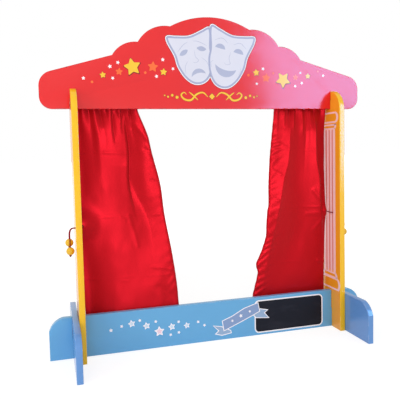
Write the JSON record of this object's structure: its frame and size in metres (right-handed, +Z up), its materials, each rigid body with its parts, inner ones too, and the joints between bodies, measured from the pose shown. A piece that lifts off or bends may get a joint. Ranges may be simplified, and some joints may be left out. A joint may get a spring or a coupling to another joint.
{
  "type": "puppet theater stand",
  "caption": "Table-top puppet theater: slotted painted boards with a scalloped header, chalk panel rail and side feet, satin curtains on a rod, beaded tie cords.",
  "frame": {"origin": "on the floor, midway between the uprights, in the middle plane of the header board and the rail", "axes": "+X along the header to the right as the audience sees it, +Y away from the audience, +Z up"},
  "size_m": [0.7, 0.264, 0.69],
  "materials": {
    "red_paint": "gloss red paint on board, printed",
    "rail_blue_paint": "gloss sky-blue paint on board, printed, with a matt black chalk panel",
    "foot_blue_paint": "gloss blue paint on board",
    "yellow_paint": "gloss golden-yellow paint on board, printed column on the inner faces",
    "bare_wood": "sanded dowel",
    "red_satin": "polyester satin",
    "dark_red_cord": "braided cord",
    "bead_yellow": "lacquered yellow bead"
  },
  "bodies": {
    "frame": {"header_board": "red_paint", "front_rail": "rail_blue_paint", "left_upright": "yellow_paint", "right_upright": "yellow_paint", "left_foot": "foot_blue_paint", "right_foot": "foot_blue_paint", "curtain_rod": "bare_wood", "left_cord_inner": "dark_red_cord", "right_cord_inner": "dark_red_cord"},
    "left_drape": {"left_curtain": "red_satin"},
    "right_drape": {"right_curtain": "red_satin"},
    "left_pull": {"left_cord_long": "dark_red_cord", "left_cord_short": "dark_red_cord", "left_lower_bead": "bead_yellow", "left_upper_bead": "bead_yellow"},
    "right_pull": {"right_cord_long": "dark_red_cord", "right_cord_short": "dark_red_cord", "right_lower_bead": "bead_yellow", "right_upper_bead": "bead_yellow"}
  },
  "joints": [
    {"name": "left_curtain_slide", "type": "slide", "parent": "frame", "child": "left_drape", "axis": [1, 0, 0], "range_m": [0, 0.085]},
    {"name": "right_curtain_slide", "type": "slide", "parent": "frame", "child": "right_drape", "axis": [-1, 0, 0], "range_m": [0, 0.085]},
    {"name": "left_pull_swing", "type": "hinge", "parent": "frame", "child": "left_pull", "pos_m": [-0.292, -0.015, 0.266], "axis": [1, 0, 0], "range_deg": [-75, 75]},
    {"name": "right_pull_swing", "type": "hinge", "parent": "frame", "child": "right_pull", "pos_m": [0.292, -0.015, 0.266], "axis": [1, 0, 0], "range_deg": [-75, 75]}
  ]
}
